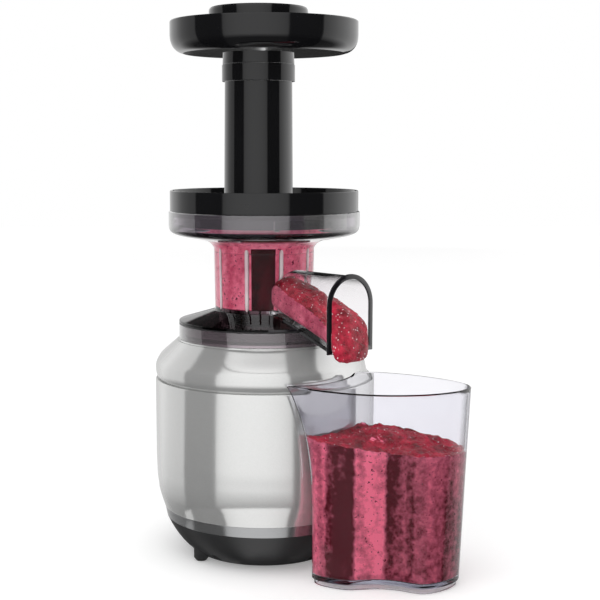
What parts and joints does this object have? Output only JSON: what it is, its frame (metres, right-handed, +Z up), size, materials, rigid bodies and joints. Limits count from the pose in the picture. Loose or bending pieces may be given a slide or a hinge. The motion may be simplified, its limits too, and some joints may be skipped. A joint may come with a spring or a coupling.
{
  "type": "cold press juicer",
  "caption": "Upright cold press juicer: oval motor base, twist-on bowl with pulp chute, slow auger, feed tube with tray and pusher, and a clear jug.",
  "frame": {"origin": "on the drive axis at table height, under the flat underside of the base pan", "axes": "+Z up along the drive axis, -Y towards the front, where the chute and jug are seen, +X to the front view's right"},
  "size_m": [0.2208, 0.2243, 0.397],
  "materials": {
    "black_pan": "satin",
    "black_gloss": "gloss",
    "silver_paint": "satin metallic paint",
    "graphite_band": "satin metallic paint",
    "soft_rubber": "matte",
    "bright_steel": "machined",
    "cast_alloy": "as cast",
    "can_alloy": "drawn",
    "stack_steel": "laminated",
    "winding_wire": "enamelled wire",
    "bush_bronze": "sintered",
    "board_green": "solder mask",
    "switch_cream": "moulded",
    "gear_nylon": "moulded",
    "auger_resin": "satin",
    "smoky_clear": "clear, smoky",
    "jug_clear": "clear"
  },
  "bodies": {
    "base": {"base_pan": "black_pan", "rubber_feet": "soft_rubber", "pan_screws": "bright_steel", "trim_band": "graphite_band", "body_shell": "silver_paint", "shoulder_cap": "silver_paint", "cord_gland": "soft_rubber", "switch_bezel": "black_pan", "switch_body": "switch_cream", "control_board": "board_green", "run_capacitor": "can_alloy", "motor_damper": "soft_rubber", "lower_bracket": "cast_alloy", "upper_bracket": "cast_alloy", "motor_bearings": "bright_steel", "stator_core": "stack_steel", "stator_windings": "winding_wire", "motor_bolts": "bright_steel", "gearbox_case": "cast_alloy", "gearbox_lid": "cast_alloy", "gearbox_screws": "bright_steel", "layshaft_pin": "bright_steel", "drive_bushes": "bush_bronze", "drive_seal": "soft_rubber"},
    "rotor": {"rotor_core": "stack_steel", "motor_shaft": "bright_steel", "cooling_fan": "black_pan"},
    "layshaft": {"layshaft_gear": "gear_nylon"},
    "drive": {"drive_gear": "bright_steel", "drive_shaft": "bright_steel"},
    "rocker": {"switch_rocker": "black_gloss"},
    "bowl": {"juice_bowl": "smoky_clear", "bowl_gasket": "soft_rubber", "bowl_seal": "soft_rubber", "press_chamber": "smoky_clear", "strainer": "bright_steel", "strainer_foot": "black_pan"},
    "auger": {"auger": "auger_resin", "auger_socket": "bright_steel"},
    "drip": {"drip_stop": "black_gloss", "drip_seal": "soft_rubber"},
    "lid": {"lid": "black_gloss", "lid_gasket": "soft_rubber", "feed_tube": "black_gloss"},
    "tray": {"hopper_tray": "black_gloss"},
    "pusher": {"pusher_stem": "black_gloss", "pusher_knob": "black_gloss"},
    "jug": {"jug": "jug_clear"}
  },
  "joints": [
    {"name": "rotor_spin", "type": "hinge", "parent": "base", "child": "rotor", "pos_m": [0, 0, 0.058], "axis": [0, 0, 1], "continuous": true},
    {"name": "layshaft_spin", "type": "hinge", "parent": "base", "child": "layshaft", "pos_m": [0, 0.03, 0.107], "axis": [0, 0, 1], "continuous": true},
    {"name": "drive_spin", "type": "hinge", "parent": "base", "child": "drive", "pos_m": [0, 0, 0.15], "axis": [0, 0, 1], "continuous": true},
    {"name": "switch_rock", "type": "hinge", "parent": "base", "child": "rocker", "pos_m": [-0.05416, 0.06316, 0.095], "axis": [-0.7071, -0.7071, 0], "range_deg": [-10, 10]},
    {"name": "bowl_lift", "type": "slide", "parent": "base", "child": "bowl", "axis": [0, 0, 1], "range_m": [0, 0.06]},
    {"name": "auger_spin", "type": "hinge", "parent": "bowl", "child": "auger", "pos_m": [0, 0, 0.2], "axis": [0, 0, 1], "continuous": true},
    {"name": "drip_open", "type": "hinge", "parent": "bowl", "child": "drip", "pos_m": [0, 0.098, 0.151], "axis": [1, 0, 0], "range_deg": [0, 85]},
    {"name": "lid_lift", "type": "slide", "parent": "bowl", "child": "lid", "axis": [0, 0, 1], "range_m": [0, 0.04]},
    {"name": "tray_lift", "type": "slide", "parent": "lid", "child": "tray", "axis": [0, 0, 1], "range_m": [0, 0.03]},
    {"name": "pusher_slide", "type": "slide", "parent": "tray", "child": "pusher", "axis": [0, 0, 1], "range_m": [0, 0.125]},
    {"name": "jug_slide", "type": "slide", "parent": "base", "child": "jug", "axis": [0.6428, -0.766, 0], "range_m": [0, 0.1]}
  ],
  "couplings": [
    {"joint": "layshaft_spin", "follows": "rotor_spin", "ratio": -0.25},
    {"joint": "drive_spin", "follows": "rotor_spin", "ratio": 0.0625},
    {"joint": "auger_spin", "follows": "rotor_spin", "ratio": 0.0625}
  ]
}
